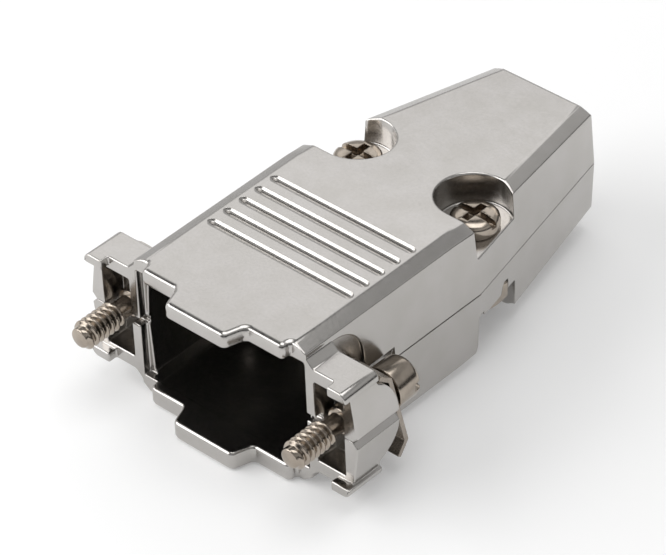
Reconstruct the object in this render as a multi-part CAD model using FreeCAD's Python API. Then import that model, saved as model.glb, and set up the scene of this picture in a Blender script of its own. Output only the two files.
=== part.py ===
import FreeCAD, Part
import math
import os
from FreeCAD import Vector

os.makedirs("parts", exist_ok=True)

# Frame: X across the hood, Y from the connector mouth to the cable outlet, Z up.
# The origin is the middle of the connector mouth, on the plane where the shells part.
# All lengths are millimetres.

# Standard sizes of a nine-way connector
jack_spacing = 24.99
thread_r = 1.36

# Shell outline in plan
body_half_width = 10.6
taper_start_y = 22.0
hood_length = 43.3
rear_half_width = 6.1
side_draft_width = 0.5

# Shell heights above and below the parting plane
top_height = 7.5
bottom_height = 7.9
rear_drop = 1.6
fold_y = 19.7
crown_width = 1.35
crown_height_top = 0.55
crown_height_bottom = 1.05
crown_top_r = 0.9
rear_edge_r = 0.45
inner_bevel = 0.8

# Shell walls
side_wall = 1.0
rear_wall = 1.6
bay_half_height = 6.35

# Connector mouth
mouth_half_width = 9.9
lip_depth = 0.3
mouth_half_height = 5.85
lip_length = 0.95
lip_half_width = 8.4
lip_corner_r = 0.6
lip_root_r = 0.25
tongue_half_width = 3.5
tongue_length = 3.05
tongue_flare = 0.7
tongue_corner_r = 0.7
tongue_root_r = 0.5
front_edge_r = 0.55

# Grip grooves across the top
groove_count = 5
groove_first_y = 7.8
groove_pitch = 2.02
groove_half_length = 9.0
groove_r = 0.42
groove_depth = 0.34
groove_end_slope_deg = 45.0

# Ears that carry the jackscrews; reaches across are from the jackscrew's axis
ear_height = 5.75
ear_depth = 3.35
ear_reach = 3.305
ear_panel_lean = 0.65
ear_cap_thickness = 1.0
ear_cap_overhang = 0.3
ear_cap_r = 0.75
ear_channel_reach = 1.755
ear_roof_wall = 1.4
ear_rear_wall = 0.95
ear_partition = 1.05
ear_chamfer = 0.55
ear_facet = 1.0
ear_horn_offset = 0.805
ear_horn_reach = 0.95
ear_bulge_y = 5.4
ear_bulge_half_height = 4.3
ear_bulge_flat = 0.9
partition_notch = 0.4
partition_notch_depth = 1.0

# Jackscrews
jack_tip_y = -5.05
thread_length = 4.9
thread_chamfer = 0.35
neck_r = 0.95
collar_r = 1.45
collar_length = 1.1
journal_r = 1.12
journal_clearance = 0.08
collar_clearance = 0.08
jack_head_r = 2.1
jack_head_length = 2.9
jack_head_edge = 0.3
jack_slot_width = 0.8
jack_slot_depth = 1.0

# Retaining clips behind the ears
clip_thickness = 0.45
clip_above = 3.1
clip_below = 4.7
clip_reach = 2.305
clip_side_clearance = 0.08
clip_tilt_deg = 13.0
clip_flap_length = 1.55
clip_upper_flap_deg = 40.0
clip_lower_flap_deg = 50.0
clip_bend_r = 0.25
clip_float = 0.5
clip_clearance = 0.06
pocket_x = 10.12
pocket_height = 6.3
pocket_reach = 6.9
pocket_r = 3.2
head_pocket_clearance = 0.25
head_pocket_margin = 0.9

# Housing screws and nuts
fix_x = 6.95
fix_y = 25.6
recess_r = 3.6
recess_wall = 0.8
recess_floor_top = 3.8
recess_floor_bottom = 3.2
post_r = 2.6
fix_screw_r = 1.25
fix_hole_clearance = 0.15
fix_screw_length = 7.4
fix_head_r = 2.3
fix_head_height = 1.6
fix_head_edge = 0.55
fix_slot_width = 0.7
fix_slot_depth = 0.8
fix_cross_width = 0.75
fix_cross_half = 1.35
nut_af = 5.0
nut_thickness = 2.0
nut_pocket_depth = 1.2
nut_clearance = 0.08
shoulder_r = 2.6
shoulder_inner_r = 0.4

# Cable outlet
outlet_r = 3.5
outlet_collar_wall = 1.0
outlet_collar_length = 4.2

# Cable clamp
clamp_from_rear = 8.7
clamp_depth = 6.4
clamp_side_clearance = 0.35
clamp_thickness = 0.7
clamp_saddle_r = 2.2
clamp_split = 0.5
clamp_screw_x = 4.55
clamp_screw_r = 0.8
clamp_hole_clearance = 0.1
clamp_head_r = 1.5
clamp_head_height = 1.1
clamp_slot_width = 0.5
clamp_slot_depth = 0.6
clamp_nut_af = 3.2
clamp_nut_thickness = 1.3
clamp_screw_proud = 0.5
rib_thickness = 0.7

# Lip of the lower shell that stands inside the upper one
lip_start_y = 12.5
lip_end_y = 20.5
lip_thickness = 0.5
lip_height = 0.7
lip_root = 1.5
lip_gap = 0.06

# Chamfer where the outer walls of the shells meet
seam_chamfer = 0.1

# Values that follow from the sizes above
jack_x = jack_spacing / 2
ear_outer_x = jack_x + ear_reach
ear_channel_x = jack_x + ear_channel_reach
ear_horn_x = jack_x + ear_horn_offset
clip_outer_x = jack_x + clip_reach
partition_x = mouth_half_width + ear_partition
channel_depth = ear_depth - ear_rear_wall
collar_y = channel_depth - collar_clearance - collar_length
thread_end_y = jack_tip_y + thread_length
clamp_y = hood_length - clamp_from_rear
clip_front_y = ear_bulge_y + clip_float
clip_lean = math.tan(math.radians(clip_tilt_deg))
head_front_y = clip_front_y + clip_thickness + jack_head_r * clip_lean + clip_clearance
head_rear_y = head_front_y + jack_head_length
far = 60.0


def box(x0, x1, y0, y1, z0, z1):
    """Box between two corners."""
    return Part.makeBox(x1 - x0, y1 - y0, z1 - z0, Vector(x0, y0, z0))


def cylinder_y(radius, x, z, y0, y1):
    """Cylinder along Y from y0 to y1."""
    return Part.makeCylinder(radius, y1 - y0, Vector(x, y0, z), Vector(0, 1, 0))


def cylinder_z(radius, x, y, z0, z1):
    """Cylinder along Z from z0 to z1."""
    return Part.makeCylinder(radius, z1 - z0, Vector(x, y, z0), Vector(0, 0, 1))


def prism(points, direction):
    """Polygon with straight sides, pushed along a direction."""
    wire = Part.makePolygon([Vector(*p) for p in points + points[:1]])
    return Part.Face(wire).extrude(Vector(*direction))


def mirror_x(shape):
    """The same shape on the other side of the middle plane."""
    return shape.mirror(Vector(0, 0, 0), Vector(1, 0, 0))


def mirror_z(shape):
    """The same shape on the other side of the parting plane."""
    return shape.mirror(Vector(0, 0, 0), Vector(0, 0, 1))


def both_sides(shape):
    """A shape and its mirror image, as a list."""
    return [shape, mirror_x(shape)]


def rounded_wire(points, radii):
    """Closed polygon whose corners are rounded by the radii given, nought for a sharp one."""
    corners = [Vector(*p) for p in points]
    count = len(corners)
    ends = []
    for i in range(count):
        here = corners[i]
        back = (corners[i - 1] - here).normalize()
        ahead = (corners[(i + 1) % count] - here).normalize()
        half = back.getAngle(ahead) / 2
        cut = radii[i] / math.tan(half)
        inner = (back + ahead).normalize()
        middle = here + inner * (radii[i] / math.sin(half) - radii[i])
        ends.append((here + back * cut, middle, here + ahead * cut))
    edges = []
    for i in range(count):
        first, middle, last = ends[i]
        if radii[i] > 0:
            edges.append(Part.Arc(first, middle, last).toShape())
        following = ends[(i + 1) % count][0]
        if last.distanceToPoint(following) > 0.001:
            edges.append(Part.makeLine(last, following))
    return Part.Wire(edges)


def skin(rings):
    """Solid between closed rings of matching edges: flat where they are straight, ruled where round."""
    faces = [Part.Face(rings[0]), Part.Face(rings[-1])]
    for near, next_ring in zip(rings, rings[1:]):
        for first, second in zip(near.Edges, next_ring.Edges):
            if first.Curve.TypeId == "Part::GeomLine":
                corners = [first.Vertexes[0].Point, first.Vertexes[1].Point]
                corners += [second.Vertexes[1].Point, second.Vertexes[0].Point]
                faces.append(Part.Face(Part.makePolygon(corners + corners[:1])))
            else:
                faces.append(Part.makeRuledSurface(first, second))
    shell = Part.makeShell(faces)
    shell.sewShape()
    return Part.makeSolid(shell)


def plan_half_width(y):
    """Half width of the hood on the parting plane at a distance y from the mouth."""
    run = max(0.0, y - taper_start_y) / (hood_length - taper_start_y)
    return body_half_width - (body_half_width - rear_half_width) * run


def roof_line(height, y):
    """Height of the roof at y: level to the fold, then falling to the rear."""
    run = max(0.0, y - fold_y) / (hood_length - fold_y)
    return height - rear_drop * run


def outer_section(height, crown_height, y):
    """Section of one half across the hood: leaning sides, bevelled edges, level roof."""
    half = plan_half_width(y)
    roof_z = roof_line(height, y)
    edge_z = roof_z - crown_height
    edge_x = half - side_draft_width * edge_z / height
    roof_x = edge_x - crown_width
    right = [(half, y, 0), (edge_x, y, edge_z), (roof_x, y, roof_z)]
    left = [(-p[0], y, p[2]) for p in reversed(right)]
    return rounded_wire(right + left, [0, 0, crown_top_r, crown_top_r, 0, 0])


def inner_section(y, grow):
    """Section of the hollow at y, made larger on all sides by grow."""
    half = plan_half_width(y) - side_wall + grow
    roof_z = roof_line(bay_half_height, y) + grow
    roof_x = half - side_draft_width * roof_z / top_height
    edge_z = roof_z - inner_bevel
    edge_x = half - side_draft_width * edge_z / top_height
    right = [(half, y, -1), (half, y, 0), (edge_x, y, edge_z), (roof_x - inner_bevel, y, roof_z)]
    points = right + [(-p[0], y, p[2]) for p in reversed(right)]
    return Part.makePolygon([Vector(*p) for p in points + points[:1]])


def front_outline(inset, z):
    """Front edge in plan at a height: sides, lip in front of them, tongue in the middle."""
    run = tongue_length - lip_length
    slip = inset * (math.hypot(tongue_flare, run) - tongue_flare) / run
    tip_x = tongue_half_width - slip
    lip_x = lip_half_width - inset
    right = [(tip_x, inset - tongue_length, z), (tip_x + tongue_flare, inset - lip_length, z)]
    right += [(lip_x, inset - lip_length, z), (lip_x, inset, z), (far, inset, z), (far, far, z)]
    left = [(-p[0], p[1], p[2]) for p in reversed(right)]
    radii = [tongue_corner_r - inset, tongue_root_r + inset, lip_corner_r - inset, lip_root_r + inset, 0, 0]
    return rounded_wire(right + left, radii + radii[::-1])


def front_form(height):
    """Everything behind the front edge, which rounds over into the roof in two slopes."""
    half_way = front_edge_r * (1 - math.sqrt(0.5))
    levels = [(0, 0), (0, height - front_edge_r), (half_way, height - half_way)]
    levels += [(front_edge_r, height), (front_edge_r, height + 1)]
    return skin([front_outline(inset, z) for inset, z in levels])


def rear_prism(height):
    """Everything in front of the rear wall, with its upper edge rounded."""
    roof_z = roof_line(height, hood_length)
    rise = rear_drop / (hood_length - fold_y)
    profile = [(-far, -far, -1), (-far, hood_length, -1), (-far, hood_length, roof_z)]
    profile += [(-far, -far, roof_z + rise * (hood_length + far))]
    wire = rounded_wire(profile, [0, 0, rear_edge_r, 0])
    return Part.Face(wire).extrude(Vector(2 * far, 0, 0))


def outer_form(height, crown_height):
    """Solid outer form of one half, from the parting plane up."""
    stations = [-tongue_length, fold_y, taper_start_y, hood_length]
    rings = [outer_section(height, crown_height, y) for y in stations]
    return skin(rings).common(rear_prism(height)).common(front_form(height))


def cavity():
    """Hollow of one half: mouth between the lips, connector bay and wiring space."""
    half = mouth_half_width
    mouth = box(-half, half, -far / 4, lip_depth + 0.5, -1, mouth_half_height)
    stations = [lip_depth, fold_y, taper_start_y, hood_length - rear_wall]
    rings = [inner_section(y, 0) for y in stations]
    return mouth.fuse(skin(rings))


def recess(floor_z, height):
    """Screw recess that opens to the side, with a straight front wall."""
    round_part = cylinder_z(recess_r, fix_x, fix_y, floor_z, height + 1)
    side_part = box(fix_x, far / 3, fix_y - recess_r, fix_y, floor_z, height + 1)
    return round_part.fuse(side_part)


def screw_station(outer, floor_z, height):
    """Cup round a recess and the post under it, inside the outer form."""
    cup = cylinder_z(recess_r + recess_wall, fix_x, fix_y, floor_z - recess_wall, height)
    post = cylinder_z(post_r, fix_x, fix_y, 0, floor_z)
    bridge_x = body_half_width - side_draft_width
    bridge = box(fix_x, bridge_x, fix_y - post_r, fix_y + post_r, 0, floor_z)
    wall = box(fix_x, far / 3, fix_y - recess_r - recess_wall, fix_y, floor_z - recess_wall, height)
    return cup.fuse([post, bridge, wall]).common(outer)


def ear_section(height, capped):
    """Section of an ear across X and Z, with or without the cap that overhangs the panel."""
    inner_x = mouth_half_width
    panel_top = height - ear_cap_thickness
    panel_x = ear_outer_x - ear_panel_lean
    points = [(inner_x, 0, 0), (ear_outer_x - ear_chamfer, 0, 0), (ear_outer_x, 0, ear_chamfer)]
    if not capped:
        points += [(panel_x, 0, panel_top), (inner_x, 0, panel_top)]
        return rounded_wire(points, [0, 0, 0.1, 0, 0])
    cap_x = panel_x + ear_cap_overhang
    points += [(panel_x, 0, panel_top), (cap_x, 0, panel_top + 0.1), (cap_x, 0, height)]
    points += [(partition_x, 0, height), (inner_x, 0, height + ear_facet)]
    return rounded_wire(points, [0, 0, 0.1, 0, 0.1, ear_cap_r, 0, 0])


def ear(height):
    """One ear above the parting plane: cap, front horn, panel and bulged rear wall."""
    head = Part.Face(ear_section(height, True))
    head = head.extrude(Vector(0, ear_depth + ear_horn_reach, 0))
    head = head.translated(Vector(0, -ear_horn_reach, 0))
    head = head.cut(box(0, far, -far, 0, -1, height - ear_cap_thickness))
    head = head.cut(box(0, ear_horn_x, -far, 0, -1, far))
    panel = Part.Face(ear_section(height, False)).extrude(Vector(0, far, 0))
    return head.fuse(panel.common(bulge_form()))


def bulge_form():
    """Rounded swelling of the ear's rear wall, seen from the side."""
    start = Vector(0, ear_depth - 0.05, ear_bulge_half_height)
    end = Vector(0, ear_bulge_y, ear_bulge_flat)
    chord = end - start
    normal = Vector(0, -chord.z, chord.y)
    normal.normalize()
    middle = (start + end) * 0.5 + normal * (chord.Length * 0.16)
    arc = Part.Arc(start, middle, end).toShape()
    corners = [end, Vector(0, ear_bulge_y, 0), Vector(0, 1, 0), Vector(0, 1, start.z), start]
    rest = Part.makePolygon(corners)
    face = Part.Face(Part.Wire([arc] + rest.Edges))
    return face.extrude(Vector(far / 3, 0, 0))


def ear_hollow(height):
    """Channel of the ear, the screw hole behind it and the notch in the partition."""
    channel = box(partition_x, ear_channel_x, -far, channel_depth, -1, height - ear_roof_wall)
    hole = cylinder_y(journal_r + journal_clearance, jack_x, 0, 0, ear_bulge_y + 1)
    notch = box(mouth_half_width - 1, partition_x + 0.1, -1, partition_notch_depth, -1, partition_notch)
    return channel.fuse([hole, notch])


def side_pockets():
    """Room in the side wall for the clip and for the head of the jackscrew."""
    start = Vector(0, pocket_reach - pocket_r, pocket_height)
    middle = Vector(0, pocket_reach - pocket_r * (1 - math.sqrt(0.5)),
                    pocket_height - pocket_r * (1 - math.sqrt(0.5)))
    end = Vector(0, pocket_reach, pocket_height - pocket_r)
    arc = Part.Arc(start, middle, end).toShape()
    corners = [end, Vector(0, pocket_reach, -1), Vector(0, 1, -1), Vector(0, 1, pocket_height), start]
    face = Part.Face(Part.Wire([arc] + Part.makePolygon(corners).Edges))
    clip_room = face.extrude(Vector(far / 3, 0, 0)).translated(Vector(pocket_x, 0, 0))
    radius = jack_head_r + head_pocket_clearance
    head_room = cylinder_y(radius, jack_x, 0, 1, head_rear_y + head_pocket_margin)
    return clip_room.fuse(head_room)


def outlet_collar(outer):
    """Collar inside the rear wall, round the cable outlet."""
    start = hood_length - outlet_collar_length
    return cylinder_y(outlet_r + outlet_collar_wall, 0, 0, start, hood_length).common(outer)


def outlet_bore():
    """Round cable outlet through the rear wall and its collar."""
    return cylinder_y(outlet_r, 0, 0, hood_length - outlet_collar_length - 1, hood_length + 1)


def seam_cut():
    """Small chamfer along the parting plane on the straight sides."""
    x = body_half_width
    points = [(x - seam_chamfer, 0, -0.01), (x + 0.2, 0, -0.01), (x + 0.2, 0, seam_chamfer + 0.2)]
    return prism(points, (0, taper_start_y, 0))


def half_shell(height, crown_height, floor_z):
    """One half above the parting plane, with everything both halves share."""
    outer = outer_form(height, crown_height)
    shell = outer.cut(cavity())
    stations = both_sides(screw_station(outer, floor_z, height))
    shell = shell.fuse(stations + [outlet_collar(outer)])
    cuts = both_sides(side_pockets()) + both_sides(recess(floor_z, height))
    cuts += both_sides(cylinder_z(fix_screw_r + fix_hole_clearance, fix_x, fix_y, -1, height))
    cuts += both_sides(seam_cut()) + [outlet_bore()]
    shell = shell.cut(cuts)
    ears = both_sides(ear(ear_height))
    shell = shell.fuse(ears)
    shell = shell.cut(both_sides(ear_hollow(ear_height)))
    return shell


def groove(y):
    """One grip groove: a round-bottomed channel whose ends slope up to the roof."""
    z = top_height + groove_r - groove_depth
    half = groove_half_length
    channel = Part.makeCylinder(groove_r, 2 * half, Vector(-half, y, z), Vector(1, 0, 0))
    run = groove_depth / math.tan(math.radians(groove_end_slope_deg))
    low_z = top_height - groove_depth
    corners = [(half - run, y - 1, low_z), (half, y - 1, top_height), (half, y - 1, z + groove_r)]
    corners += [(-p[0], p[1], p[2]) for p in reversed(corners)]
    return channel.common(prism(corners, (0, 2, 0)))


def top_shell():
    """Upper shell with its grip grooves."""
    shell = half_shell(top_height, crown_height_top, recess_floor_top)
    cuts = [groove(groove_first_y + i * groove_pitch) for i in range(groove_count)]
    return shell.cut(cuts)


def hexagon(across_flats, x, y, z0, z1):
    """Hexagonal prism with two flats facing along X."""
    radius = across_flats / math.sqrt(3)
    points = []
    for i in range(6):
        angle = math.radians(60 * i + 30)
        points.append((x + radius * math.cos(angle), y + radius * math.sin(angle), z0))
    return prism(points, (0, 0, z1 - z0))


def mating_lip():
    """Inner lip of the lower shell, on one side."""
    inner_x = body_half_width - side_wall
    top_x = inner_x - side_draft_width * lip_height / top_height - lip_gap
    foot = box(top_x - lip_thickness, inner_x + 0.2, lip_start_y, lip_end_y, -lip_root, -lip_gap)
    stand = box(top_x - lip_thickness, top_x, lip_start_y, lip_end_y, -lip_root, lip_height)
    return foot.fuse(stand)


def clamp_ribs():
    """Cross ribs on the floor that carry the lower clamp saddle."""
    seat_z = -clamp_split - clamp_thickness
    trough = clamp_saddle_r + clamp_thickness + 0.3
    ribs = []
    for side in (-1, 1):
        y = clamp_y + side * (clamp_depth - rib_thickness) / 2
        rib = box(-far, far, y - rib_thickness / 2, y + rib_thickness / 2, -bottom_height, seat_z)
        rib = rib.cut(cylinder_y(trough, 0, -clamp_split, y - 2, y + 2))
        rib = rib.cut(box(-trough, trough, y - 2, y + 2, -clamp_split - 0.1, 1))
        ribs.append(rib)
    return ribs


def shoulder_ring(x, radius):
    """Outside of the rounded corner between underside and recess wall, at one place across."""
    y = fix_y - recess_r
    z = bottom_height
    points = [(x, y - 2 * shoulder_r, z), (x, y, z), (x, y, z - 2 * shoulder_r)]
    points += [(x, y + 1, z - 2 * shoulder_r), (x, y + 1, z + 1), (x, y - 2 * shoulder_r, z + 1)]
    return rounded_wire(points, [0, radius, 0, 0, 0, 0])


def shoulder_cut():
    """Rounding of the shoulder in front of a nut recess, widening towards the side."""
    return skin([shoulder_ring(fix_x, shoulder_inner_r), shoulder_ring(body_half_width + 0.2, shoulder_r)])


def bottom_shell():
    """Lower shell with rounded shoulders, nut pockets, mating lip and clamp ribs."""
    half = half_shell(bottom_height, crown_height_bottom, recess_floor_bottom)
    shell = mirror_z(half.cut(both_sides(shoulder_cut())))
    stations = [taper_start_y, hood_length - rear_wall / 2]
    rings = [inner_section(y, side_wall / 2) for y in stations]
    room = mirror_z(skin(rings))
    ribs = [rib.common(room) for rib in clamp_ribs()]
    shell = shell.fuse(both_sides(mating_lip()) + ribs)
    pocket_z = -recess_floor_bottom + nut_pocket_depth
    pocket = hexagon(nut_af + 2 * nut_clearance, fix_x, fix_y, -recess_floor_bottom - 1, pocket_z)
    return shell.cut(both_sides(pocket))


def jackscrew():
    """Jackscrew on the right: thread, neck, collar, journal and slotted head."""
    tip_r = thread_r - thread_chamfer
    profile = [(0, jack_tip_y), (tip_r, jack_tip_y), (thread_r, jack_tip_y + thread_chamfer)]
    profile += [(thread_r, thread_end_y), (neck_r, thread_end_y)]
    profile += [(neck_r, collar_y), (collar_r, collar_y)]
    profile += [(collar_r, collar_y + collar_length), (journal_r, collar_y + collar_length)]
    profile += [(journal_r, head_front_y), (jack_head_r, head_front_y)]
    profile += [(jack_head_r, head_rear_y - jack_head_edge)]
    profile += [(jack_head_r - jack_head_edge, head_rear_y), (0, head_rear_y)]
    wire = Part.makePolygon([Vector(r, y, 0) for r, y in profile + profile[:1]])
    screw = Part.Face(wire).revolve(Vector(0, 0, 0), Vector(0, 1, 0), 360)
    half = jack_slot_width / 2
    slot = box(-far, far, head_rear_y - jack_slot_depth, far, -half, half)
    return screw.cut(slot).translated(Vector(jack_x, 0, 0))


def clip_profile():
    """Side view of a clip as Y and Z: upper flap, plate and lower flap, front face first."""
    upper = math.radians(clip_upper_flap_deg)
    lower = math.radians(clip_lower_flap_deg)
    flap = clip_flap_length
    front = [(-flap * math.sin(upper), clip_above + flap * math.cos(upper)), (0, clip_above)]
    front += [(0, -clip_below), (-flap * math.sin(lower), -clip_below - flap * math.cos(lower))]
    rise = clip_thickness * math.tan(upper / 2)
    drop = clip_thickness * math.tan(lower / 2)
    rear = [(front[3][0] + clip_thickness * math.cos(lower), front[3][1] - clip_thickness * math.sin(lower))]
    rear += [(clip_thickness, -clip_below - drop), (clip_thickness, clip_above + rise)]
    rear += [(front[0][0] + clip_thickness * math.cos(upper), front[0][1] + clip_thickness * math.sin(upper))]
    return front + rear


def retaining_clip():
    """Sprung clip on the right: a tilted plate with two bent flaps, slotted from the inside."""
    profile = clip_profile()
    width = clip_outer_x - body_half_width - clip_side_clearance
    plate = prism([(0, y, z) for y, z in profile], (width, 0, 0))
    turns = [profile[i] for i in (1, 2, 5, 6)]
    bends = []
    for edge in plate.Edges:
        middle = edge.CenterOfMass
        at_turn = [t for t in turns if math.hypot(middle.y - t[0], middle.z - t[1]) < 0.01]
        if at_turn and abs(middle.x - width / 2) < 0.01:
            bends.append(edge)
    plate = plate.makeFillet(clip_bend_r, bends)
    plate.rotate(Vector(0, 0, 0), Vector(1, 0, 0), clip_tilt_deg)
    plate.translate(Vector(clip_outer_x - width, clip_front_y, 0))
    radius = journal_r + clip_clearance
    hole = cylinder_y(radius, jack_x, 0, 0, far)
    throat = box(0, jack_x, 0, far, -radius, radius)
    return plate.cut(hole.fuse(throat))


def housing_screw():
    """Pan-head screw on the right, with a slot and a cross in its head."""
    seat = recess_floor_top
    crown = seat + fix_head_height
    end = seat - fix_screw_length
    points = [(0, end), (fix_screw_r, end), (fix_screw_r, seat), (fix_head_r, seat)]
    points += [(fix_head_r, crown - fix_head_edge), (fix_head_r * 0.65, crown), (0, crown)]
    wire = Part.makePolygon([Vector(r, 0, z) for r, z in points + points[:1]])
    screw = Part.Face(wire).revolve(Vector(0, 0, 0), Vector(0, 0, 1), 360)
    half = fix_slot_width / 2
    slot = box(-far, far, -half, half, crown - fix_slot_depth, far)
    half = fix_cross_width / 2
    cross = box(-half, half, -fix_cross_half, fix_cross_half, crown - fix_slot_depth - 0.2, far)
    return screw.cut([slot, cross]).translated(Vector(fix_x, fix_y, 0))


def nut(across_flats, thickness, bore_r, x, y, top_z):
    """Hexagonal nut whose upper face is at top_z."""
    body = hexagon(across_flats, x, y, top_z - thickness, top_z)
    return body.cut(cylinder_z(bore_r, x, y, top_z - thickness, top_z))


def housing_nut():
    """Nut on the right, seated in the pocket of the lower shell."""
    top_z = -recess_floor_bottom + nut_pocket_depth
    return nut(nut_af, nut_thickness, fix_screw_r, fix_x, fix_y, top_z)


def clamp_saddle():
    """Upper cable saddle: two flat ends and an arch between them."""
    y0 = clamp_y - clamp_depth / 2
    y1 = clamp_y + clamp_depth / 2
    z = clamp_split
    half_width = plan_half_width(y1) - side_wall - clamp_side_clearance
    outer_r = clamp_saddle_r + clamp_thickness
    plate = box(-half_width, half_width, y0, y1, z, z + clamp_thickness)
    arch = cylinder_y(outer_r, 0, z, y0, y1).common(box(-far, far, 0, far, z, far))
    saddle = plate.fuse(arch).cut(cylinder_y(clamp_saddle_r, 0, z, y0 - 1, y1 + 1))
    holes = both_sides(cylinder_z(clamp_screw_r + clamp_hole_clearance, clamp_screw_x, clamp_y, -far, far))
    return saddle.cut(holes).removeSplitter()


def clamp_screw():
    """Cheese-head screw on the right that draws the saddles together."""
    seat = clamp_split + clamp_thickness
    crown = seat + clamp_head_height
    end = -clamp_split - clamp_thickness - clamp_nut_thickness - clamp_screw_proud
    shank = cylinder_z(clamp_screw_r, 0, 0, end, seat)
    head = cylinder_z(clamp_head_r, 0, 0, seat, crown)
    half = clamp_slot_width / 2
    slot = box(-far, far, -half, half, crown - clamp_slot_depth, far)
    return shank.fuse(head).cut(slot).translated(Vector(clamp_screw_x, clamp_y, 0))


def clamp_nut():
    """Nut on the right under the lower saddle."""
    top_z = -clamp_split - clamp_thickness
    return nut(clamp_nut_af, clamp_nut_thickness, clamp_screw_r, clamp_screw_x, clamp_y, top_z)


def save(name, shape):
    """Write one node to its own file."""
    shape.exportStep("parts/" + name + ".step")


def save_pair(name, shape):
    """Write a node for the right side and its mirror image for the left."""
    save(name + "_right", shape)
    save(name + "_left", mirror_x(shape))


save("top_shell", top_shell())
save("bottom_shell", bottom_shell())
save_pair("jackscrew", jackscrew())
save_pair("retaining_clip", retaining_clip())
save_pair("housing_screw", housing_screw())
save_pair("housing_nut", housing_nut())
save("clamp_saddle_upper", clamp_saddle())
save("clamp_saddle_lower", mirror_z(clamp_saddle()))
save_pair("clamp_screw", clamp_screw())
save_pair("clamp_nut", clamp_nut())
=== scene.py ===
"""Looks of an empty nine-way connector hood: plated shells, jackscrews, clips and cable clamp.

All lengths in dataclass fields are millimetres and all meshes are metres. X runs across the
hood, Y from the mouth to the cable outlet and Z up, with the origin in the mouth.
"""
import logging
import math
from dataclasses import dataclass, field
from enum import Enum
from typing import Any, Dict, List, Optional, Sequence, Tuple

import bmesh
import bpy
from mathutils import Matrix, Vector


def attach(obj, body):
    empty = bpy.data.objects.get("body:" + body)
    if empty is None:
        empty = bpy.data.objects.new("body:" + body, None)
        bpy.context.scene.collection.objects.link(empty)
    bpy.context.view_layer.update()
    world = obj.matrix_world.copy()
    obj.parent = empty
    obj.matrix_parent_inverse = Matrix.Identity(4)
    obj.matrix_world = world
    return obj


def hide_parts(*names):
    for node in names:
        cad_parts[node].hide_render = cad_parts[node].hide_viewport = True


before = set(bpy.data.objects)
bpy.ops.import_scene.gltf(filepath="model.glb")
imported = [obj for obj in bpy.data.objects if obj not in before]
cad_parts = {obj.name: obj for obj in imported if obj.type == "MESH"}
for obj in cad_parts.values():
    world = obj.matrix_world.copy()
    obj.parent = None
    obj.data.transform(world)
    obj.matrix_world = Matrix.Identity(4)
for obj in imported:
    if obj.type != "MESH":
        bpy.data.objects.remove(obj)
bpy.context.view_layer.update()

log = logging.getLogger("hood")
MM = 0.001
# Cutters reach this far past what they cut, in millimetres.
PAST = 4.0
Point2 = Tuple[float, float]
Point3 = Tuple[float, float, float]


class Side(Enum):
    """The two sides of the hood, each with the sign of its X."""

    RIGHT = 1
    LEFT = -1

    @property
    def word(self) -> str:
        """Gives the side as it stands in the names of nodes."""
        return self.name.lower()


def linear(hex_colour: str) -> Tuple[float, float, float, float]:
    """Turns an sRGB hex colour into linear RGBA.

    Args:
        hex_colour: Colour such as "#CDCAC6".

    Returns:
        Red, green, blue and an alpha of one.
    """
    parts = [int(hex_colour[i:i + 2], 16) / 255 for i in (1, 3, 5)]
    values = [p / 12.92 if p <= 0.04045 else ((p + 0.055) / 1.055) ** 2.4 for p in parts]
    return (values[0], values[1], values[2], 1.0)


def add_node(
    tree: bpy.types.NodeTree, kind: str, inputs: Optional[Dict[Any, Any]] = None, **settings: Any,
) -> bpy.types.Node:
    """Adds a node with its settings and its links.

    Args:
        tree: Node tree that gets the node.
        kind: Type name of the node.
        inputs: Socket name or number, and its constant or the output that feeds it.
        settings: Properties of the node itself.

    Returns:
        The new node.
    """
    node = tree.nodes.new(kind)
    for name, value in settings.items():
        setattr(node, name, value)
    for name, value in (inputs or {}).items():
        if isinstance(value, bpy.types.NodeSocket):
            tree.links.new(value, node.inputs[name])
        else:
            node.inputs[name].default_value = value
    return node


class Plating(Enum):
    """Kinds of plating on the hood, each with the slot of the record it stands for."""

    CAST_SHELL = "shell_plating"
    TURNED_SCREW = "screw_plating"
    SPRING_STRIP = "clip_plating"


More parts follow.
